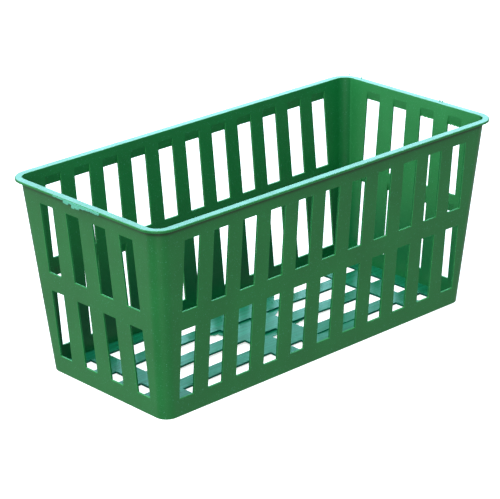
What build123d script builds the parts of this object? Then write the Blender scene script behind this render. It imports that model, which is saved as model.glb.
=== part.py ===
from build123d import *
import math
import os

os.makedirs("parts", exist_ok=True)

# Slatted nest basket, moulded in one shot.
# X runs along the long walls, Y across, Z up.
# The origin is on the resting plane, under the middle of the floor.

# Overall size
LENGTH = 300.0
WIDTH = 142.6
HEIGHT = 131.0

# Wall skin: thickness, outer half sizes and outer corner radii at the foot and at the rim
WALL = 1.4
FOOT_HALF_X = 134.1
FOOT_HALF_Y = 56.2
FOOT_RADIUS = 8.4
TOP_HALF_X = 146.3
TOP_HALF_Y = 67.6
TOP_RADIUS = 10.5

# Outward flange round the mouth
FLANGE_THICK = 1.6
FLANGE_RADIUS = 14.2
FLANGE_UNDERSIDE = HEIGHT - FLANGE_THICK

# Slot rows: bottom level and top level. The slots widen evenly over both rows.
LOWER_ROW = (12.4, 59.1)
UPPER_ROW = (71.7, 119.0)
SLOT_WIDTH_LOW = 11.6
SLOT_WIDTH_HIGH = 12.3

# Shut-off wedge left on the inner face above every slot
WEDGE_RISE = 6.0
WEDGE_LIP = 0.3

# Floor plate
FLOOR_TOP = 2.2
FLOOR_THICK = 1.5
FLOOR_UNDERSIDE = FLOOR_TOP - FLOOR_THICK
FLOOR_MIDDLE = FLOOR_TOP - FLOOR_THICK / 2

# Floor openings, as distances from the middle of the basket
MIDDLE_OPENING_END = 6.5
LONG_OPENING_START = 21.0
LONG_OPENING_END = 96.9
END_OPENING_START = 110.4
END_OPENING_END = 121.0
INNER_ROW_START = 5.7
INNER_ROW_END = 19.1
OUTER_ROW_START = 30.2
OUTER_ROW_END = 44.2

# The four walls: direction of the run, slot columns and their pitch, and the size each lies on
WALLS = {
    "front": {"turn": 0, "columns": 11, "pitch": 23.5, "long": True},
    "right": {"turn": 90, "columns": 4, "pitch": 25.2, "long": False},
    "back": {"turn": 180, "columns": 11, "pitch": 23.5, "long": True},
    "left": {"turn": 270, "columns": 4, "pitch": 25.2, "long": False},
}

# The four corners: which way each lies from the middle
CORNERS = {
    "back_right": (1, 1),
    "back_left": (-1, 1),
    "front_left": (-1, -1),
    "front_right": (1, -1),
}


def drafted(z, at_foot, at_top):
    """A size that changes evenly from the foot to the rim, read at height z."""
    return at_foot + (at_top - at_foot) * z / HEIGHT


def radius(z):
    """Outer corner radius at height z."""
    return drafted(z, FOOT_RADIUS, TOP_RADIUS)


def corner_x(z):
    """Distance along X from the middle to the corner's centre line."""
    return drafted(z, FOOT_HALF_X, TOP_HALF_X) - radius(z)


def corner_y(z):
    """Distance along Y from the middle to the corner's centre line."""
    return drafted(z, FOOT_HALF_Y, TOP_HALF_Y) - radius(z)


def reach(wall, z):
    """Distance from the middle to a wall's outer face at height z."""
    if wall["long"]:
        return drafted(z, FOOT_HALF_Y, TOP_HALF_Y)
    return drafted(z, FOOT_HALF_X, TOP_HALF_X)


def run(wall, z):
    """Half length of a wall's flat stretch at height z."""
    if wall["long"]:
        return corner_x(z)
    return corner_y(z)


def along(wall):
    """Unit vector along a wall, left to right seen from outside."""
    turn = math.radians(wall["turn"])
    return Vector(math.cos(turn), math.sin(turn), 0)


def inward(wall):
    """Unit vector from a wall to the middle of the basket."""
    turn = math.radians(wall["turn"])
    return Vector(-math.sin(turn), math.cos(turn), 0)


def level_plane(wall, z):
    """Horizontal plane at height z: local x along the wall, local y inward."""
    return Plane(origin=(0, 0, z), x_dir=along(wall), z_dir=(0, 0, 1))


def column_centres(wall):
    """Slot centres along a wall."""
    first = -(wall["columns"] - 1) / 2 * wall["pitch"]
    return [first + i * wall["pitch"] for i in range(wall["columns"])]


def slot_width(z):
    """Width of a slot at height z."""
    share = (z - LOWER_ROW[0]) / (UPPER_ROW[1] - LOWER_ROW[0])
    return SLOT_WIDTH_LOW + (SLOT_WIDTH_HIGH - SLOT_WIDTH_LOW) * share


def slat_edges(wall, z):
    """Left and right edge of every slat and end stile at height z."""
    half = slot_width(z) / 2
    edges = [-run(wall, z)]
    for centre in column_centres(wall):
        edges += [centre - half, centre + half]
    edges.append(run(wall, z))
    return list(zip(edges[0::2], edges[1::2]))


def slab_section(wall, z, left, right):
    """Section through the wall between two points of its run at height z."""
    with BuildSketch(level_plane(wall, z)) as section:
        with Locations(((left + right) / 2, WALL / 2 - reach(wall, z))):
            Rectangle(right - left, WALL)
    return section.sketch


def wedge_profile(wall, top, centre):
    """Profile of the shut-off wedge above one slot, on the plane of the slot's left side."""
    foot = -reach(wall, top)
    tip = -reach(wall, top + WEDGE_RISE) + WALL
    side = along(wall) * (centre - slot_width(top) / 2)
    with BuildSketch(Plane(origin=side, x_dir=inward(wall), z_dir=along(wall))) as profile:
        with BuildLine():
            Polyline(
                (foot + WEDGE_LIP, top),
                (foot + WALL + 1, top),
                (tip + 1, top + WEDGE_RISE),
                (tip, top + WEDGE_RISE),
                close=True,
            )
        make_face()
    return profile.sketch


def rounded_body(inset):
    """Solid with the basket's outer shape, drawn in on all sides."""
    with BuildPart() as body:
        for level in (0, HEIGHT):
            with BuildSketch(Plane.XY.offset(level)):
                RectangleRounded(
                    2 * (corner_x(level) + radius(level) - inset),
                    2 * (corner_y(level) + radius(level) - inset),
                    radius(level) - inset,
                )
        loft(ruled=True)
    return body.part


# The rim flange is trimmed to the outside of the wall skin, the floor to its inside
outside = rounded_body(0)
hollow = rounded_body(WALL)


# Rim flange: four straight lengths
rim_x = TOP_HALF_X - TOP_RADIUS
rim_y = TOP_HALF_Y - TOP_RADIUS
rim_lengths = {
    "front": (0, -WIDTH / 2, 2 * rim_x, WIDTH - 2 * rim_y),
    "back": (0, WIDTH / 2, 2 * rim_x, WIDTH - 2 * rim_y),
    "left": (-LENGTH / 2, 0, LENGTH - 2 * rim_x, 2 * rim_y),
    "right": (LENGTH / 2, 0, LENGTH - 2 * rim_x, 2 * rim_y),
}
for side, (x, y, size_x, size_y) in rim_lengths.items():
    with BuildPart() as rim_length:
        with BuildSketch(Plane.XY.offset(FLANGE_UNDERSIDE)):
            Rectangle(LENGTH, WIDTH)
            with Locations((x, y)):
                Rectangle(size_x, size_y, mode=Mode.INTERSECT)
        extrude(amount=FLANGE_THICK)
        add(outside, mode=Mode.SUBTRACT)
    rim_length.part.label = f"rim_{side}"
    export_step(rim_length.part, f"parts/rim_{side}.step")

# Rim flange: four rounded corners between the lengths
for corner, (side_x, side_y) in CORNERS.items():
    with BuildPart() as rim_corner:
        with BuildSketch(Plane.XY.offset(FLANGE_UNDERSIDE)):
            RectangleRounded(LENGTH, WIDTH, FLANGE_RADIUS)
            with Locations((side_x * (rim_x + LENGTH / 2), side_y * (rim_y + WIDTH / 2))):
                Rectangle(LENGTH, WIDTH, mode=Mode.INTERSECT)
        extrude(amount=FLANGE_THICK)
        add(outside, mode=Mode.SUBTRACT)
    rim_corner.part.label = f"rim_corner_{corner}"
    export_step(rim_corner.part, f"parts/rim_corner_{corner}.step")

# Corner posts: the rounded corners of the wall skin
for corner, (side_x, side_y) in CORNERS.items():
    first_angle = math.degrees(math.atan2(side_y, side_x)) - 45
    with BuildPart() as corner_post:
        for level in (0, HEIGHT):
            centre = (side_x * corner_x(level), side_y * corner_y(level))
            with BuildSketch(Plane.XY.offset(level)):
                with BuildLine():
                    outer = CenterArc(centre, radius(level), first_angle, 90)
                    inner = CenterArc(centre, radius(level) - WALL, first_angle, 90)
                    Line(outer @ 0, inner @ 0)
                    Line(outer @ 1, inner @ 1)
                make_face()
        loft(ruled=True)
    corner_post.part.label = f"corner_post_{corner}"
    export_step(corner_post.part, f"parts/corner_post_{corner}.step")

# Flat walls: three solid bands and two rows of slats on each
for side, wall in WALLS.items():
    bands = {
        "bottom_band": (0, LOWER_ROW[0]),
        "mid_band": (LOWER_ROW[1], UPPER_ROW[0]),
        "top_band": (UPPER_ROW[1], HEIGHT),
    }
    for name, (low, high) in bands.items():
        with BuildPart() as band:
            foot_section = slab_section(wall, low, -run(wall, low), run(wall, low))
            head_section = slab_section(wall, high, -run(wall, high), run(wall, high))
            loft([foot_section, head_section], ruled=True)
            if low > 0:
                for centre in column_centres(wall):
                    profile = wedge_profile(wall, low, centre)
                    extrude(profile, amount=slot_width(low), mode=Mode.SUBTRACT)
        band.part.label = f"{side}_{name}"
        export_step(band.part, f"parts/{side}_{name}.step")

    for name, row in (("lower_slats", LOWER_ROW), ("upper_slats", UPPER_ROW)):
        with BuildPart() as slats:
            low, high = row
            for low_edges, high_edges in zip(slat_edges(wall, low), slat_edges(wall, high)):
                foot_section = slab_section(wall, low, *low_edges)
                head_section = slab_section(wall, high, *high_edges)
                loft([foot_section, head_section], ruled=True)
        slats.part.label = f"{side}_{name}"
        export_step(slats.part, f"parts/{side}_{name}.step")

# Floor: border strips along the walls
strip_y = OUTER_ROW_END + FOOT_HALF_Y
for side, facing in (("front", -1), ("back", 1)):
    with BuildPart() as long_border:
        with Locations((0, facing * strip_y, FLOOR_MIDDLE)):
            Box(LENGTH, 2 * FOOT_HALF_Y, FLOOR_THICK)
        add(hollow, mode=Mode.INTERSECT)
    long_border.part.label = f"floor_border_{side}"
    export_step(long_border.part, f"parts/floor_border_{side}.step")

for side, facing in (("left", -1), ("right", 1)):
    with BuildPart() as end_border:
        with Locations((facing * (END_OPENING_END + FOOT_HALF_X), 0, FLOOR_MIDDLE)):
            Box(2 * FOOT_HALF_X, 2 * OUTER_ROW_END, FLOOR_THICK)
        add(hollow, mode=Mode.INTERSECT)
    end_border.part.label = f"floor_border_{side}"
    export_step(end_border.part, f"parts/floor_border_{side}.step")

# Floor: three long bars between the four rows of openings
long_bars = {
    "front": (-OUTER_ROW_START, -INNER_ROW_END),
    "middle": (-INNER_ROW_START, INNER_ROW_START),
    "back": (INNER_ROW_END, OUTER_ROW_START),
}
for place, (low, high) in long_bars.items():
    with BuildPart() as long_bar:
        with Locations((0, (low + high) / 2, FLOOR_MIDDLE)):
            Box(2 * END_OPENING_END, high - low, FLOOR_THICK)
    long_bar.part.label = f"floor_long_bar_{place}"
    export_step(long_bar.part, f"parts/floor_long_bar_{place}.step")

# Floor: cross bars, each a file of four short pieces filling in between the long bars
cross_bars = {
    "left_end": (-END_OPENING_START, -LONG_OPENING_END),
    "left_middle": (-LONG_OPENING_START, -MIDDLE_OPENING_END),
    "right_middle": (MIDDLE_OPENING_END, LONG_OPENING_START),
    "right_end": (LONG_OPENING_END, END_OPENING_START),
}
opening_rows = [
    (-OUTER_ROW_END, -OUTER_ROW_START),
    (-INNER_ROW_END, -INNER_ROW_START),
    (INNER_ROW_START, INNER_ROW_END),
    (OUTER_ROW_START, OUTER_ROW_END),
]
for place, (left, right) in cross_bars.items():
    with BuildPart() as cross_bar:
        for low, high in opening_rows:
            with Locations(((left + right) / 2, (low + high) / 2, FLOOR_MIDDLE)):
                Box(right - left, high - low, FLOOR_THICK)
    cross_bar.part.label = f"floor_cross_bar_{place}"
    export_step(cross_bar.part, f"parts/floor_cross_bar_{place}.step")
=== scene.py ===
import math
import random

import bmesh
import bpy
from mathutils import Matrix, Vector


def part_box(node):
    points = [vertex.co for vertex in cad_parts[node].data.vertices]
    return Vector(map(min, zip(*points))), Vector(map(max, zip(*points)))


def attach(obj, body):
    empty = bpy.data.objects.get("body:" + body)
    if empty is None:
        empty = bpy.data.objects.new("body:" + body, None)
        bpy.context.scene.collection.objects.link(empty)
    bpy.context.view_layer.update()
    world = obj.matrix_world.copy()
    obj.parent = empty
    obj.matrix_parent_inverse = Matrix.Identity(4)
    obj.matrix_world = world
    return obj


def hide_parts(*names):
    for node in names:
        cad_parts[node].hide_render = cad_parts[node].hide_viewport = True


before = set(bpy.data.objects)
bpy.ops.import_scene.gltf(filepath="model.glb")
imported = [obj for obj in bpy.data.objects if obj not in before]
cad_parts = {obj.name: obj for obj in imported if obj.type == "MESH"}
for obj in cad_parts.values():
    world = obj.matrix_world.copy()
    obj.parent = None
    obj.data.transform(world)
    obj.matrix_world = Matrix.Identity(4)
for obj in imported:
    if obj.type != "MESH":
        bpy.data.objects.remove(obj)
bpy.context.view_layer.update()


# ---------------------------------------------------------------------------
# Camera: a long lens looking down the left end and the front wall from above.
# It rolls a little to one side, as a camera held in the hand does.
# ---------------------------------------------------------------------------
scene = bpy.context.scene
camera_data = bpy.data.cameras.new("camera")
camera_data.lens = 159.74
camera_data.sensor_width = 36
camera = bpy.data.objects.new("camera", camera_data)
camera.location = (-0.92031, -0.98349, 0.59791)
camera.rotation_euler = (math.radians(68.210), math.radians(0.829), math.radians(-43.120))
scene.collection.objects.link(camera)
scene.camera = camera


# ---------------------------------------------------------------------------
# Basket shell: walls, round corners and outward rim flange, moulded in one shot
# from green polypropylene. The skin is a loop of rings drawn up from the foot,
# over the flange and down the inside. The slots are then cut through it.
# ---------------------------------------------------------------------------
MM = 0.001
rim_low, rim_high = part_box("rim_front")
flange_low, flange_high = rim_low.z, rim_high.z
wall_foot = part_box("front_bottom_band")[0].z
half_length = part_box("rim_right")[1].x
half_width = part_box("rim_back")[1].y
skin = 1.4 * MM
foot_half = Vector((134.1, 56.2)) * MM
mouth_half = Vector((146.3, 67.6)) * MM
foot_round = 8.4 * MM
mouth_round = 10.5 * MM
flange_round = 14.2 * MM
rim_edge_round = 0.4 * MM
foot_inner_round = 6.0 * MM
mouth_inner_round = 7.6 * MM
corner_steps = 12
shell_edge_round = 0.3 * MM
sharp_edge = math.radians(30)
smooth_up_to = math.radians(50)


def wall_size(z):
    """Outer half sizes and corner radius of the wall at height z."""
    share = (z - wall_foot) / (flange_high - wall_foot)
    return foot_half.lerp(mouth_half, share), foot_round + (mouth_round - foot_round) * share


def start_piece(name):
    """Names the primitive just added and opens it for editing."""
    piece = bpy.context.active_object
    piece.name = piece.data.name = name
    bpy.ops.object.transform_apply(location=True, rotation=True, scale=True)
    bpy.ops.object.mode_set(mode="EDIT")
    return piece


def pick(kind, test):
    """Selects the vertices, edges or faces of the open piece that pass a test."""
    mesh = bpy.context.edit_object.data
    shape = bmesh.from_edit_mesh(mesh)
    bpy.ops.mesh.select_all(action="DESELECT")
    bpy.ops.mesh.select_mode(type={"verts": "VERT", "edges": "EDGE", "faces": "FACE"}[kind])
    for part in [part for part in getattr(shape, kind) if test(part)]:
        part.select_set(True)
    if kind == "verts":
        shape.select_flush(True)
    bmesh.update_edit_mesh(mesh)


def close_piece(piece):
    """Leaves edit mode, with the piece selected alone."""
    bpy.ops.object.mode_set(mode="OBJECT")
    bpy.ops.object.select_all(action="DESELECT")
    piece.select_set(True)
    bpy.context.view_layer.objects.active = piece


def finish_piece(piece, edge_round, edge_paint=-1):
    """Rounds the sharp edges over, in a paint of the piece if one is given, and smooths the shading."""
    close_piece(piece)
    bevel = piece.modifiers.new("edge rounding", "BEVEL")
    bevel.width = edge_round
    bevel.segments = 2
    bevel.limit_method = "ANGLE"
    bevel.angle_limit = sharp_edge
    bevel.material = edge_paint
    bpy.ops.object.modifier_apply(modifier=bevel.name)
    bpy.ops.object.shade_smooth_by_angle(angle=smooth_up_to)
    weighted = piece.modifiers.new("even shading", "WEIGHTED_NORMAL")
    weighted.keep_sharp = True
    bpy.ops.object.modifier_apply(modifier=weighted.name)


def draw_ring(z, half, round_radius, last):
    """Draws the open ring on to its next outline: height, half sizes and corner radius."""
    last_z, last_half, last_round = last
    bpy.ops.mesh.extrude_region_move(TRANSFORM_OT_translate={"value": (0, 0, z - last_z)})
    drawn = bmesh.from_edit_mesh(bpy.context.edit_object.data)
    ring = {v.index for v in drawn.verts if v.select}
    for side_x in (-1, 1):
        for side_y in (-1, 1):
            pick("verts", lambda v: v.index in ring and v.co.x * side_x > 0 and v.co.y * side_y > 0)
            shift_x = (half.x - round_radius) - (last_half.x - last_round)
            shift_y = (half.y - round_radius) - (last_half.y - last_round)
            bpy.ops.transform.translate(value=(side_x * shift_x, side_y * shift_y, 0))
            centre = (side_x * (half.x - round_radius), side_y * (half.y - round_radius), z)
            scale = round_radius / last_round
            bpy.ops.transform.resize(value=(scale, scale, 1), center_override=centre)
    pick("verts", lambda v: v.index in ring)
    bpy.ops.mesh.select_mode(type="EDGE")
    return z, half, round_radius


bpy.ops.object.select_all(action="DESELECT")
bpy.ops.mesh.primitive_plane_add(size=1, location=(0, 0, wall_foot))
shell = start_piece("basket_shell")
bpy.ops.transform.resize(value=(2 * foot_half.x, 2 * foot_half.y, 1))
bpy.ops.mesh.bevel(offset=foot_round, segments=corner_steps, affect="VERTICES", offset_type="OFFSET")
bpy.ops.mesh.delete(type="ONLY_FACE")
bpy.ops.mesh.select_all(action="SELECT")
bpy.ops.mesh.select_mode(type="EDGE")

flange_half = Vector((half_length, half_width))
neck_half, neck_round = wall_size(flange_low)
ring = (wall_foot, foot_half, foot_round)
ring = draw_ring(flange_low, neck_half, neck_round, ring)
ring = draw_ring(flange_low, flange_half, flange_round, ring)
ring = draw_ring(flange_high, flange_half, flange_round, ring)
ring = draw_ring(flange_high, mouth_half - Vector((skin, skin)), mouth_inner_round, ring)
ring = draw_ring(wall_foot, foot_half - Vector((skin, skin)), foot_inner_round, ring)
pick("edges", lambda e: e.is_boundary)
bpy.ops.mesh.bridge_edge_loops()
bpy.ops.mesh.select_all(action="SELECT")
bpy.ops.mesh.normals_make_consistent(inside=False)

# Slots: rows by height, columns by their spacing. Each slot is wider at the top.
slot_rows = ((12.4 * MM, 59.1 * MM), (71.7 * MM, 119.0 * MM))
wedge_rise = 6.0 * MM
slot_width_low, slot_width_high = 11.6 * MM, 12.3 * MM
slot_spread = (slot_width_high - slot_width_low) / (slot_rows[1][1] - slot_rows[0][0])
long_columns = [(i - 5) * 23.5 * MM for i in range(11)]
end_columns = [(i - 1.5) * 25.2 * MM for i in range(4)]


def slot_half(z):
    """Half the width of a slot at height z."""
    return (slot_width_low + slot_spread * (z - slot_rows[0][0])) / 2


levels = sorted({z for low, high in slot_rows for z in (low, high, high + wedge_rise)})
for z in levels:
    bpy.ops.mesh.select_all(action="SELECT")
    bpy.ops.mesh.bisect(plane_co=(0, 0, z), plane_no=(0, 0, 1))
foot_line = slot_rows[0][0]
for run, columns in ((0, long_columns), (1, end_columns)):
    for column in columns:
        for side in (-1, 1):
            point, across = [0, 0, foot_line], [0, 0, -side * slot_spread / 2]
            point[run] = column + side * slot_half(foot_line)
            across[run] = 1
            pick("faces", lambda f: f.calc_center_median().z < flange_low)
            bpy.ops.mesh.bisect(plane_co=point, plane_no=across)


def in_slot(point, rise):
    """True if a point of the wall lies within a slot. Above it, the inner skin is open by rise."""
    if not any(low < point.z < high + rise for low, high in slot_rows):
        return False
    half, _ = wall_size(point.z)
    on_long_wall = abs(point.y) > half.y - 2 * skin
    place, columns = (point.x, long_columns) if on_long_wall else (point.y, end_columns)
    return any(abs(place - column) < slot_half(point.z) for column in columns)


def inner_skin(point):
    """True if a point lies on the inside of the wall skin."""
    half, _ = wall_size(point.z)
    return abs(point.x) < half.x - skin / 2 and abs(point.y) < half.y - skin / 2


def slot_face(face):
    """True for the skin faces that a slot takes away."""
    centre = face.calc_center_median()
    return in_slot(centre, wedge_rise if inner_skin(centre) else 0)


pick("faces", slot_face)
bpy.ops.mesh.delete(type="FACE")
match_cell = 0.05 * MM


def wall_point(run, side, place, z, inner):
    """A point of a wall: the wall runs along axis run and lies on the given side."""
    half, _ = wall_size(z)
    across = 1 - run
    point = Vector((0, 0, z))
    point[run] = place
    point[across] = side * (half[across] - (skin if inner else 0))
    return point


def slot_frame(run, side, column, low, high):
    """The faces that line one slot, as lists of corner points: sill, jambs, cheeks and wedge."""
    outer, inner = {}, {}
    for edge in (-1, 1):
        for z in (low, high, high + wedge_rise):
            place = column + edge * slot_half(z)
            outer[edge, z] = wall_point(run, side, place, z, False)
            inner[edge, z] = wall_point(run, side, place, z, True)
    peak = high + wedge_rise
    faces = [[outer[-1, low], outer[1, low], inner[1, low], inner[-1, low]]]
    faces.append([outer[-1, high], outer[1, high], inner[1, peak], inner[-1, peak]])
    for edge in (-1, 1):
        faces.append([outer[edge, low], outer[edge, high], inner[edge, high], inner[edge, low]])
        faces.append([outer[edge, high], inner[edge, high], inner[edge, peak]])
    return faces


def cell(point):
    """The small cell of space that a point falls in."""
    return tuple(round(c / match_cell) for c in point)


def nearest(near, corner):
    """Index of the vertex at a corner point, looked for in its cell and then in those around it."""
    x, y, z = cell(corner)
    for dx in (0, -1, 1):
        for dy in (0, -1, 1):
            for dz in (0, -1, 1):
                found = near.get((x + dx, y + dy, z + dz))
                if found is not None:
                    return found
    raise ValueError(f"no vertex near {tuple(corner)}")


def fill_faces(piece, faces):
    """Fills each list of corner points of the open piece with a face."""
    shape = bmesh.from_edit_mesh(piece.data)
    near = {cell(vert.co): vert.index for vert in shape.verts}
    for corners in [{nearest(near, corner) for corner in face} for face in faces]:
        pick("verts", lambda v: v.index in corners)
        bpy.ops.mesh.edge_face_add()


slot_faces = []
for run, columns in ((0, long_columns), (1, end_columns)):
    for side in (-1, 1):
        for column in columns:
            for low, high in slot_rows:
                slot_faces += slot_frame(run, side, column, low, high)
fill_faces(shell, slot_faces)
bpy.ops.mesh.select_all(action="SELECT")
bpy.ops.mesh.remove_doubles(threshold=0.01 * MM)
bpy.ops.mesh.normals_make_consistent(inside=False)


def wedge_edge(edge):
    """True for the crisp edge where a wedge runs out into the inner face of the wall."""
    ends = [v.co.z for v in edge.verts]
    peaks = [high + wedge_rise for _, high in slot_rows]
    on_peak = any(all(abs(z - peak) < 0.1 * MM for z in ends) for peak in peaks)
    return on_peak and edge.calc_face_angle(0) > math.radians(9)


def moulded_green(name, base, shadow, speck, roughness, specular=0.5):
    """Glossy moulded polypropylene: soft flow mottling, fine speckle and a faintly rippled skin."""
    paint = bpy.data.materials.new(name)
    paint.use_nodes = True
    nodes, links = paint.node_tree.nodes, paint.node_tree.links
    surface = nodes["Principled BSDF"]
    surface.inputs["IOR"].default_value = 1.49
    surface.inputs["Specular IOR Level"].default_value = specular
    place = nodes.new("ShaderNodeTexCoord")

    # Colour: broad mottling where the plastic flowed, then fine pale specks.
    flow = nodes.new("ShaderNodeTexNoise")
    flow.inputs["Scale"].default_value = 28
    flow.inputs["Detail"].default_value = 6
    links.new(place.outputs["Object"], flow.inputs["Vector"])
    flow_ramp = nodes.new("ShaderNodeValToRGB")
    flow_ramp.color_ramp.elements[0].position = 0.36
    flow_ramp.color_ramp.elements[0].color = (*shadow, 1)
    flow_ramp.color_ramp.elements[1].position = 0.66
    flow_ramp.color_ramp.elements[1].color = (*base, 1)
    links.new(flow.outputs["Fac"], flow_ramp.inputs["Fac"])

    speckle = nodes.new("ShaderNodeTexNoise")
    speckle.inputs["Scale"].default_value = 1300
    speckle.inputs["Detail"].default_value = 3
    links.new(place.outputs["Object"], speckle.inputs["Vector"])
    speckle_ramp = nodes.new("ShaderNodeValToRGB")
    speckle_ramp.color_ramp.elements[0].position = 0.63
    speckle_ramp.color_ramp.elements[0].color = (0, 0, 0, 1)
    speckle_ramp.color_ramp.elements[1].position = 0.72
    speckle_ramp.color_ramp.elements[1].color = (0.7, 0.7, 0.7, 1)
    links.new(speckle.outputs["Fac"], speckle_ramp.inputs["Fac"])
    speckled = nodes.new("ShaderNodeMix")
    speckled.data_type = "RGBA"
    links.new(speckle_ramp.outputs["Color"], speckled.inputs["Factor"])
    links.new(flow_ramp.outputs["Color"], speckled.inputs["A"])
    speckled.inputs["B"].default_value = (*speck, 1)
    links.new(speckled.outputs["Result"], surface.inputs["Base Color"])

    # Gloss: patches of skin a little duller or shinier than the rest.
    sheen_patches = nodes.new("ShaderNodeTexNoise")
    sheen_patches.inputs["Scale"].default_value = 60
    sheen_patches.inputs["Detail"].default_value = 5
    links.new(place.outputs["Object"], sheen_patches.inputs["Vector"])
    gloss = nodes.new("ShaderNodeMapRange")
    gloss.inputs["To Min"].default_value = roughness - 0.06
    gloss.inputs["To Max"].default_value = roughness + 0.08
    links.new(sheen_patches.outputs["Fac"], gloss.inputs["Value"])
    links.new(gloss.outputs["Result"], surface.inputs["Roughness"])

    # Skin: a very shallow ripple.
    ripple = nodes.new("ShaderNodeTexNoise")
    ripple.inputs["Scale"].default_value = 240
    ripple.inputs["Detail"].default_value = 4
    links.new(place.outputs["Object"], ripple.inputs["Vector"])
    bump = nodes.new("ShaderNodeBump")
    bump.inputs["Strength"].default_value = 0.25
    bump.inputs["Distance"].default_value = 0.1 * MM
    links.new(ripple.outputs["Fac"], bump.inputs["Height"])
    links.new(bump.outputs["Normal"], surface.inputs["Normal"])
    return paint


def lay_over(paint, cover, colour):
    """Lays a second colour over a paint's own, as far as the cover socket says."""
    nodes, links = paint.node_tree.nodes, paint.node_tree.links
    base = nodes["Principled BSDF"].inputs["Base Color"]
    layered = nodes.new("ShaderNodeMix")
    layered.data_type = "RGBA"
    links.new(cover, layered.inputs["Factor"])
    links.new(base.links[0].from_socket, layered.inputs["A"])
    layered.inputs["B"].default_value = (*colour, 1)
    links.new(layered.outputs["Result"], base)


def add_marks(paint, colour, stretch, fineness, cover, depth):
    """Adds drawn-out marks to a paint: their colour, stretch per axis, fineness, cover and depth."""
    nodes, links = paint.node_tree.nodes, paint.node_tree.links
    surface = nodes["Principled BSDF"]
    place = nodes.new("ShaderNodeTexCoord")
    spread = nodes.new("ShaderNodeMapping")
    spread.inputs["Scale"].default_value = stretch
    links.new(place.outputs["Object"], spread.inputs["Vector"])
    marks = nodes.new("ShaderNodeTexNoise")
    marks.inputs["Scale"].default_value = fineness
    marks.inputs["Detail"].default_value = 4
    links.new(spread.outputs["Vector"], marks.inputs["Vector"])
    strength = nodes.new("ShaderNodeMapRange")
    strength.inputs["From Min"].default_value = 0.38
    strength.inputs["From Max"].default_value = 0.68
    strength.inputs["To Max"].default_value = cover
    links.new(marks.outputs["Fac"], strength.inputs["Value"])
    lay_over(paint, strength.outputs["Result"], colour)
    dent = nodes.new("ShaderNodeBump")
    dent.inputs["Strength"].default_value = 0.5
    dent.inputs["Distance"].default_value = depth
    links.new(marks.outputs["Fac"], dent.inputs["Height"])
    links.new(surface.inputs["Normal"].links[0].from_socket, dent.inputs["Normal"])
    links.new(dent.outputs["Normal"], surface.inputs["Normal"])


def add_shade_line(paint, colour, from_z, darkest_z, to_z):
    """Shades a paint from one height to its darkest, past which it keeps about half the shade."""
    nodes, links = paint.node_tree.nodes, paint.node_tree.links
    place = nodes.new("ShaderNodeTexCoord")
    height = nodes.new("ShaderNodeSeparateXYZ")
    links.new(place.outputs["Object"], height.inputs["Vector"])
    level = nodes.new("ShaderNodeMapRange")
    level.inputs["From Min"].default_value = from_z
    level.inputs["From Max"].default_value = to_z
    links.new(height.outputs["Z"], level.inputs["Value"])
    fade = nodes.new("ShaderNodeValToRGB")
    fade.color_ramp.interpolation = "EASE"
    fade.color_ramp.elements[0].color = (0, 0, 0, 1)
    fade.color_ramp.elements[1].color = (*shade_kept, 1)
    middle = fade.color_ramp.elements.new((darkest_z - from_z) / (to_z - from_z))
    middle.color = (1, 1, 1, 1)
    links.new(level.outputs["Result"], fade.inputs["Fac"])
    lay_over(paint, fade.outputs["Color"], colour)


def paint_faces(piece, paint, test):
    """Gives the faces of the open piece that pass a test a paint of their own."""
    piece.data.materials.append(paint)
    pick("faces", test)
    piece.active_material_index = len(piece.data.materials) - 1
    bpy.ops.object.material_slot_assign()


shade_kept = (0.55, 0.55, 0.55)
pale_speck = (0.08, 0.36, 0.2)
wall_green = ((0.0032, 0.172, 0.030), (0.0026, 0.150, 0.0255), pale_speck)
green = moulded_green("moulded green", *wall_green, roughness=0.34)
# The rounded edges and the sills of the slots get a lighter green paint: a painted highlight.
edge_highlight_green = moulded_green(
    "painted edge highlight", (0.032, 0.31, 0.07), (0.024, 0.26, 0.06), (0.2, 0.6, 0.3), 0.55, specular=0.35
)
jamb_green = moulded_green(
    "slot sides", (0.003, 0.15, 0.035), (0.0025, 0.13, 0.03), pale_speck, roughness=0.42
)
# The inside of the far end wall gets a paler green: painted light.
lit_end_wall_green = moulded_green(
    "end wall with painted light", (0.022, 0.245, 0.062), (0.018, 0.215, 0.052), (0.1, 0.42, 0.2), roughness=0.36
)
# The insides of the walls get a paint that darkens towards the foot: painted shade.
inside_shaded_green = moulded_green(
    "inside", (0.0024, 0.158, 0.032), (0.0018, 0.138, 0.027), pale_speck, 0.34, specular=0.42
)
# Painted shade on the insides, darkest at 20 mm, with about half of it kept down to the foot.
add_shade_line(inside_shaded_green, (0.0005, 0.085, 0.024), 85.0 * MM, 20.0 * MM, 0)
# Painted shade on the inside of the far end wall, darker towards the foot.
add_shade_line(lit_end_wall_green, (0.001, 0.155, 0.040), 78.0 * MM, 20.0 * MM, 0)
# The band of wall just below the flange gets painted shadow, darkest at 127.4 mm.
under_flange_shadow_green = moulded_green("painted shadow under the flange", *wall_green, roughness=0.4)
add_shade_line(under_flange_shadow_green, (0.0012, 0.045, 0.005), 125.0 * MM, 127.4 * MM, 129.4 * MM)
rim_green = moulded_green("rim top", *wall_green, roughness=0.38)
add_marks(rim_green, (0.004, 0.10, 0.03), (1, 1, 1), fineness=160, cover=0.5, depth=0.12 * MM)


def outward(face):
    """True for a face that looks away from the middle of the basket."""
    centre = face.calc_center_median()
    return face.normal.x * centre.x + face.normal.y * centre.y > 0


def rim_edge(edge):
    """True for the outer top edge of the flange."""
    if any(abs(v.co.z - flange_high) > 0.01 * MM for v in edge.verts):
        return False
    steepest = min(edge.link_faces, key=lambda f: f.normal.z)
    return steepest.normal.z < 0.5 and outward(steepest)


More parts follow.
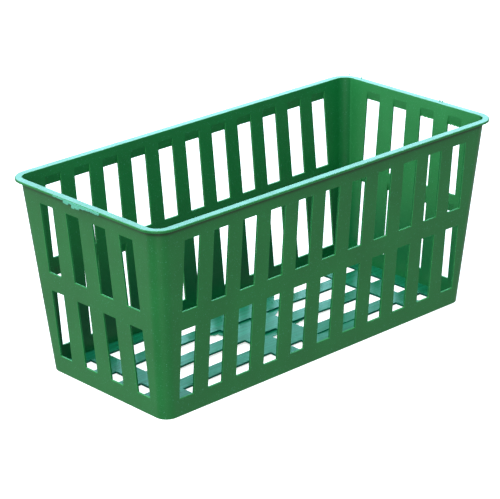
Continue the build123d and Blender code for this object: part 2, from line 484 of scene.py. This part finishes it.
def slot_jamb(face):
    """True for the sides of the slots."""
    centre = face.calc_center_median()
    half, _ = wall_size(centre.z)
    in_long_wall = abs(face.normal.x) > 0.9 and abs(centre.y) > half.y - 1.2 * skin
    in_end_wall = abs(face.normal.y) > 0.9 and abs(centre.x) > half.x - 1.2 * skin
    return in_long_wall or in_end_wall


def inside(face):
    """True for the inside of the walls."""
    return abs(face.normal.z) < 0.5 and not outward(face) and not slot_jamb(face)


def far_end_inside(face):
    """True for the inside of the far end wall, which is painted paler than the rest: painted light."""
    centre = face.calc_center_median()
    return face.normal.x < -0.97 and centre.x > wall_size(centre.z)[0].x - 2 * skin


def upward(face):
    """True for a face that looks up."""
    return face.normal.z > 0.9


def rim_top(face):
    """True for the flat top of the rim."""
    return upward(face) and face.calc_center_median().z > flange_low


def slot_sill(face):
    """True for the sills of the slots and the top of the foot ring."""
    return upward(face) and face.calc_center_median().z < flange_low


def under_flange(face):
    """True for the outside of the wall just below the flange, where shadow is painted."""
    above_slots = slot_rows[1][1] + wedge_rise < face.calc_center_median().z < flange_low
    return above_slots and abs(face.normal.z) < 0.5 and outward(face)


pick("edges", rim_edge)
bpy.ops.mesh.bevel(offset=rim_edge_round, segments=3, affect="EDGES")
shell.data.materials.append(green)
# The sills of the slots get the painted highlight paint.
paint_faces(shell, edge_highlight_green, slot_sill)
paint_faces(shell, jamb_green, slot_jamb)
paint_faces(shell, inside_shaded_green, inside)
paint_faces(shell, lit_end_wall_green, far_end_inside)
paint_faces(shell, under_flange_shadow_green, under_flange)
paint_faces(shell, rim_green, rim_top)
pick("edges", wedge_edge)
bpy.ops.mesh.mark_sharp()
# The new rounded edges take the painted highlight paint.
highlight_slot = shell.data.materials.find(edge_highlight_green.name)
finish_piece(shell, shell_edge_round, edge_paint=highlight_slot)
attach(shell, "root")
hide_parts(*[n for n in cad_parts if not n.startswith("floor_")])


# ---------------------------------------------------------------------------
# Floor: a grid of bars in the foot of the basket, of the same green plastic and
# moulded with the walls. It has four rows of openings, each with two long ones and
# a short one at both ends and in the middle.
# ---------------------------------------------------------------------------
border_low, border_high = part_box("floor_border_front")
floor_top, floor_thick = border_high.z, border_high.z - border_low.z
floor_half = wall_size(floor_top)[0] - Vector((skin, skin)) * 0.6
floor_corner = foot_inner_round + skin
bar_edge_round = 0.15 * MM
# Openings, in millimetres: their ends along the basket, and their rows across it.
opening_ends = ((-121.0, -110.4), (-96.9, -21.0), (-6.5, 6.5), (21.0, 96.9), (110.4, 121.0))
opening_rows = ((-44.2, -30.2), (-19.1, -5.7), (5.7, 19.1), (30.2, 44.2))

bpy.ops.object.select_all(action="DESELECT")
bpy.ops.mesh.primitive_plane_add(size=1, location=(0, 0, floor_top))
floor_grid = start_piece("floor_grid")
bpy.ops.transform.resize(value=(2 * floor_half.x, 2 * floor_half.y, 1))
bpy.ops.mesh.bevel(offset=floor_corner, segments=corner_steps, affect="VERTICES", offset_type="OFFSET")
for axis, stretches in ((0, opening_ends), (1, opening_rows)):
    for cut in [c for stretch in stretches for c in stretch]:
        point, across = [0, 0, floor_top], [0, 0, 0]
        point[axis], across[axis] = cut * MM, 1
        bpy.ops.mesh.select_all(action="SELECT")
        bpy.ops.mesh.bisect(plane_co=point, plane_no=across)


def in_opening(face):
    """True for the faces that a floor opening takes away."""
    centre = face.calc_center_median()
    in_column = any(a * MM < centre.x < b * MM for a, b in opening_ends)
    return in_column and any(a * MM < centre.y < b * MM for a, b in opening_rows)


# The floor is crowned: its middle stands up a little between the long bars. The bars are
# first cut across, so that they can curve.
crown_rise, crown_reach, floor_drop = 1.4 * MM, 45 * MM, -0.5 * MM
crown_left, crown_right, crown_half = -62 * MM, 35 * MM, 8 * MM
bar_start, bar_end = opening_ends[3]
bar_parts = 6
for step in range(1, bar_parts):
    for side in (-1, 1):
        cut = side * (bar_start + (bar_end - bar_start) * step / bar_parts) * MM
        bpy.ops.mesh.select_all(action="SELECT")
        bpy.ops.mesh.bisect(plane_co=(cut, 0, floor_top), plane_no=(1, 0, 0))
pick("faces", in_opening)
bpy.ops.mesh.delete(type="FACE")
bpy.ops.mesh.select_all(action="SELECT")
bpy.ops.mesh.extrude_region_move(TRANSFORM_OT_translate={"value": (0, 0, -floor_thick)})
bpy.ops.mesh.select_all(action="SELECT")
bpy.ops.mesh.normals_make_consistent(inside=False)
bpy.ops.transform.translate(value=(0, 0, floor_drop))
pick("verts", lambda v: crown_left < v.co.x < crown_right and abs(v.co.y) < crown_half)
bpy.ops.transform.translate(
    value=(0, 0, crown_rise),
    use_proportional_edit=True,
    proportional_edit_falloff="SMOOTH",
    proportional_size=crown_reach,
)

# The floor's paint is bluer than the walls': green plastic with a painted reflection of the sky on its
# upward faces. The drawn lines along it are marks in the skin.
floor_sky_tinted_green = moulded_green(
    "floor green with painted sky reflection", (0.002, 0.17, 0.066), (0.0016, 0.145, 0.054), (0.08, 0.36, 0.25), 0.34, specular=0.3
)
add_marks(floor_sky_tinted_green, (0.008, 0.29, 0.145), (0.03, 1, 1), fineness=900, cover=0.7, depth=0.06 * MM)
side_green = moulded_green(
    "shaded bar sides", (0.001, 0.13, 0.08), (0.001, 0.10, 0.06), (0.01, 0.1, 0.05), 0.6, specular=0.15
)
floor_grid.data.materials.append(floor_sky_tinted_green)
paint_faces(floor_grid, side_green, lambda f: abs(f.normal.z) < 0.3)
finish_piece(floor_grid, bar_edge_round)
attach(floor_grid, "root")
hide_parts(*[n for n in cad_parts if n.startswith("floor_")])


# ---------------------------------------------------------------------------
# Flash skins: thin membranes of plastic left low in some of the floor openings,
# where the two halves of the mould did not quite meet. Their free edges are ragged.
# ---------------------------------------------------------------------------
flash_thick = 0.3 * MM
flash_top = floor_top - floor_thick + flash_thick
skin_lift = 0.8 * crown_rise
skin_edge_round = 0.05 * MM
tuck = 0.2
tear = 0.3 * MM
# Each skin, in millimetres: left, front, right, back, then the areas left open, each as its
# straight sides. A side is a point on it and the way towards the open area. Edges that meet
# a bar are tucked into it.
flash_skins = (
    (
        -31, 5.7, -21 + tuck, 19.1 + tuck,
        (((-25.2, 10), (-1, 0)), ((-25, 16.2), (0, -1))),
        (((-28.6, 17.2), (-1, -0.8)),),
    ),
    (-6.5 - tuck, 5.7 - tuck, 6.5 + tuck, 19.1 + tuck),
    (21 - tuck, 5.7 - tuck, 36, 19.1 + tuck, (((23.2, 8), (1, 0)), ((23.2, 12.4), (0.45, -0.9)))),
    (-6.5 - tuck, -19.1 - tuck, 6.5 + tuck, -5.7 + tuck, (((-2.3, -12), (1, 0)), ((0, -12), (0, -1)))),
    (21 - tuck, -19.1 - tuck, 36, -5.7 + tuck, (((23.2, -12), (1, 0)), ((23.2, -7.8), (0.16, -1)))),
    (-6.5 - tuck, -44.2 - tuck, -3.4, -30.2 + tuck),
    (21 - tuck, -44.2 - tuck, 58, -30.2 + tuck),
    (-6.5 - tuck, 30.2 - tuck, 6.5 + tuck, 44.2 + tuck),
    (21 - tuck, 30.2 - tuck, 53, 44.2 + tuck, (((40.2, 31), (1, -1)),)),
)
chance = random.Random(8)


def inside_box(centre, box):
    """True if a point lies over a box given as left, front, right and back."""
    left, front, right, back = box
    return left * MM < centre.x < right * MM and front * MM < centre.y < back * MM


def open_face(centre, box, areas):
    """True if a point of the skin over a box lies in one of its open areas."""
    if not inside_box(centre, box):
        return False
    for sides in areas:
        if all((centre.x - x * MM) * dx + (centre.y - y * MM) * dy > 0 for (x, y), (dx, dy) in sides):
            return True
    return False


def free_edge(edge):
    """True for the ragged edges that end a skin inside an opening."""
    middle = (edge.verts[0].co + edge.verts[1].co) / 2
    if not edge.is_boundary:
        return False
    clear_x = all(abs(middle.x - x * MM) > 2 * tuck * MM for pair in opening_ends for x in pair)
    clear_y = all(abs(middle.y - y * MM) > 2 * tuck * MM for pair in opening_rows for y in pair)
    return clear_x and clear_y


bpy.ops.object.select_all(action="DESELECT")
flash = None
for left, front, right, back, *areas in flash_skins:
    centre = ((left + right) / 2 * MM, (front + back) / 2 * MM, flash_top)
    bpy.ops.mesh.primitive_plane_add(size=1, location=centre)
    flash = flash or start_piece("floor_flash")
    size = ((right - left) * MM, (back - front) * MM, 1)
    bpy.ops.transform.resize(value=size, center_override=centre)
    box = (left, front, right, back)
    for (x, y), (dx, dy) in [line for sides in areas for line in sides]:
        pick("faces", lambda f: inside_box(f.calc_center_median(), box))
        bpy.ops.mesh.bisect(plane_co=(x * MM, y * MM, flash_top), plane_no=(dx, dy, 0))
    pick("faces", lambda f: open_face(f.calc_center_median(), box, areas))
    bpy.ops.mesh.delete(type="FACE")
pick("edges", free_edge)
bpy.ops.mesh.subdivide(number_cuts=7)
ragged = [v.index for v in bmesh.from_edit_mesh(flash.data).verts if v.select]
for number in ragged:
    pick("verts", lambda v: v.index == number)
    bpy.ops.transform.translate(value=(chance.uniform(-tear, tear), chance.uniform(-tear, tear), 0))
bpy.ops.mesh.select_all(action="SELECT")
bpy.ops.mesh.extrude_region_move(TRANSFORM_OT_translate={"value": (0, 0, -flash_thick)})
bpy.ops.mesh.select_all(action="SELECT")
bpy.ops.mesh.normals_make_consistent(inside=False)
bpy.ops.transform.translate(value=(0, 0, floor_drop + skin_lift))
finish_piece(flash, skin_edge_round)
# The skins take the floor's paint, with its painted sky reflection.
flash.data.materials.append(floor_sky_tinted_green)
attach(flash, "root")


# ---------------------------------------------------------------------------
# Torn flash: a lip of thin plastic left along the parting line of the flange at the
# left end, ragged shreds over two slots of the right end, and a few teeth on its rim.
# ---------------------------------------------------------------------------
shred_thick = 0.35 * MM
shred_edge_round = 0.06 * MM
shred_sway = 0.15
rim_face = (-150.0, 130.7, 1.2)
slot_head = (144.9, 119.2, 0.5)
slot_reach = slot_width_high / 2 / MM
# Each shred, in millimetres: the face it hangs on as its X, top and depth, its ends along Y,
# how far it hangs and how torn it is.
shreds = (
    (rim_face, -20, -5, 0.3, 0.4),
    (rim_face, -5, -1, 0.6, 0.4),
    (rim_face, -1, 6, 1.9, 0.6),
    (rim_face, 6, 9, 0.2, 0.3),
    (rim_face, 9, 14, 1.0, 0.6),
    (rim_face, 14, 24, -0.6, 0.4),
    (slot_head, -12.6 - slot_reach, -12.6 + slot_reach, 0.2, 0.35),
    (slot_head, -37.8 - slot_reach, -37.8 + slot_reach, 0.2, 0.35),
)
tooth_places = (66.5, 55.0, -19.3, -21.6)
tooth_size, tooth_round, tooth_sink = 1.0 * MM, 0.3 * MM, 0.2 * MM

bpy.ops.object.select_all(action="DESELECT")
torn_flash = None
for (face_x, top, depth), first, last, hang, raggedness in shreds:
    outset = shred_thick if face_x < 0 else 0
    centre = (face_x * MM - outset, (first + last) / 2 * MM, (top - depth / 2) * MM)
    bpy.ops.mesh.primitive_plane_add(size=1, location=centre, rotation=(0, math.pi / 2, 0))
    torn_flash = torn_flash or start_piece("torn_flash")
    bpy.ops.transform.resize(value=(1, (last - first) * MM, depth * MM), center_override=centre)
    added = [v for v in bmesh.from_edit_mesh(torn_flash.data).verts if v.select]
    foot = [v.index for v in added if v.co.z < centre[2]]
    pick("edges", lambda e: all(v.index in foot for v in e.verts))
    bpy.ops.mesh.subdivide(number_cuts=int((last - first) * 2))
    torn = [v.index for v in bmesh.from_edit_mesh(torn_flash.data).verts if v.select]
    for number in torn:
        pick("verts", lambda v: v.index == number)
        drop = (hang + chance.uniform(-raggedness, raggedness)) * MM
        sway = chance.uniform(-shred_sway, shred_sway) * MM
        bpy.ops.transform.translate(value=(0, sway, -drop))
for place in tooth_places:
    centre = (half_length - tooth_sink, place * MM, flange_high + 0.05 * MM)
    bpy.ops.mesh.primitive_plane_add(size=tooth_size, location=centre, rotation=(0, math.pi / 2, 0))
    bpy.ops.mesh.bevel(offset=tooth_round, segments=2, affect="VERTICES")
bpy.ops.mesh.select_all(action="SELECT")
bpy.ops.mesh.extrude_region_move(TRANSFORM_OT_translate={"value": (shred_thick, 0, 0)})
bpy.ops.mesh.select_all(action="SELECT")
bpy.ops.mesh.normals_make_consistent(inside=False)
# The rim shreds get a pale mint paint: partly the whitened plastic of torn flash, partly a painted
# reflection of the sky.
rim_shred_pale_sheen_green = moulded_green(
    "shreds on the rim, whitened, with painted reflection", (0.11, 0.50, 0.34), (0.08, 0.43, 0.28), (0.22, 0.6, 0.45), roughness=0.4
)
torn_flash.data.materials.append(rim_shred_pale_sheen_green)
# The shreds over the slots take the painted highlight paint too.
paint_faces(torn_flash, edge_highlight_green, lambda f: f.calc_center_median().z < slot_rows[1][1] + wedge_rise)
finish_piece(torn_flash, shred_edge_round)
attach(torn_flash, "root")


# ---------------------------------------------------------------------------
# Studio: a pale floor under plain soft light. Square lamps stand to the left and
# overhead, and a cool sky-like panel behind the basket shines off its upward faces.
# ---------------------------------------------------------------------------
scene.view_settings.view_transform = "Standard"
bpy.ops.object.select_all(action="DESELECT")
bpy.ops.mesh.primitive_plane_add(size=8, location=(0, 0, 0))
studio_floor = bpy.context.active_object
studio_floor.name = "studio_floor"
pale = bpy.data.materials.new("pale floor")
pale.use_nodes = True
pale_surface = pale.node_tree.nodes["Principled BSDF"]
pale_surface.inputs["Base Color"].default_value = (0.86, 0.86, 0.86, 1)
pale_surface.inputs["Roughness"].default_value = 0.9
pale_surface.inputs["Specular IOR Level"].default_value = 0.1
pale_surface.inputs["Emission Color"].default_value = (1, 1, 1, 1)
pale_surface.inputs["Emission Strength"].default_value = 0.7
studio_floor.data.materials.append(pale)
studio_floor.visible_glossy = False
studio_floor.visible_diffuse = False

lamp_distance = 2.2
lamp_side = 1.3
lamp_watts = 16.7
lamp_aim = Vector((0, 0, 0.06))


def soft_lamp(name, elevation, bearing, strength, colour=(1, 1, 1)):
    """A square soft lamp that faces the basket. Bearing 0 is along +X, and 90 along +Y."""
    tilt, turn = math.radians(elevation), math.radians(bearing)
    away = Vector((math.cos(tilt) * math.cos(turn), math.cos(tilt) * math.sin(turn), math.sin(tilt)))
    lamp_data = bpy.data.lights.new(name, "AREA")
    lamp_data.shape = "SQUARE"
    lamp_data.size = lamp_side
    lamp_data.energy = lamp_watts * strength
    lamp_data.color = colour
    lamp = bpy.data.objects.new(name, lamp_data)
    lamp.location = lamp_aim + away * lamp_distance
    lamp.rotation_euler = away.to_track_quat("Z", "Y").to_euler()
    scene.collection.objects.link(lamp)


soft_lamp("low left bounce", -15, 135, 0.1)
soft_lamp("left back", 20, 150, 0.36)
soft_lamp("left", 20, 180, 0.24)
soft_lamp("left front", 20, 225, 0.45)
soft_lamp("left high", 50, 180, 0.5)
soft_lamp("low front bounce", -15, 225, 0.25)
soft_lamp("left front high", 50, 225, 0.6)
soft_lamp("overhead", 72, 180, 1.0)
soft_lamp("sky panel", 20, 47, 2.45, (0.38, 0.78, 0.92))

horizon_blur = 0.05
world = bpy.data.worlds.new("studio")
world.use_nodes = True
world_nodes, world_links = world.node_tree.nodes, world.node_tree.links
ambient = world_nodes["Background"]
ambient.inputs["Strength"].default_value = 1
heading = world_nodes.new("ShaderNodeTexCoord")
height = world_nodes.new("ShaderNodeSeparateXYZ")
world_links.new(heading.outputs["Generated"], height.inputs["Vector"])
horizon = world_nodes.new("ShaderNodeMapRange")
horizon.inputs["From Min"].default_value = -horizon_blur
horizon.inputs["From Max"].default_value = horizon_blur
world_links.new(height.outputs["Z"], horizon.inputs["Value"])
sky = world_nodes.new("ShaderNodeMix")
sky.data_type = "RGBA"
sky.inputs["A"].default_value = (0.49, 0.49, 0.49, 1)
sky.inputs["B"].default_value = (0.5, 0.62, 0.76, 1)
world_links.new(horizon.outputs["Result"], sky.inputs["Factor"])
world_links.new(sky.outputs["Result"], ambient.inputs["Color"])
scene.world = world
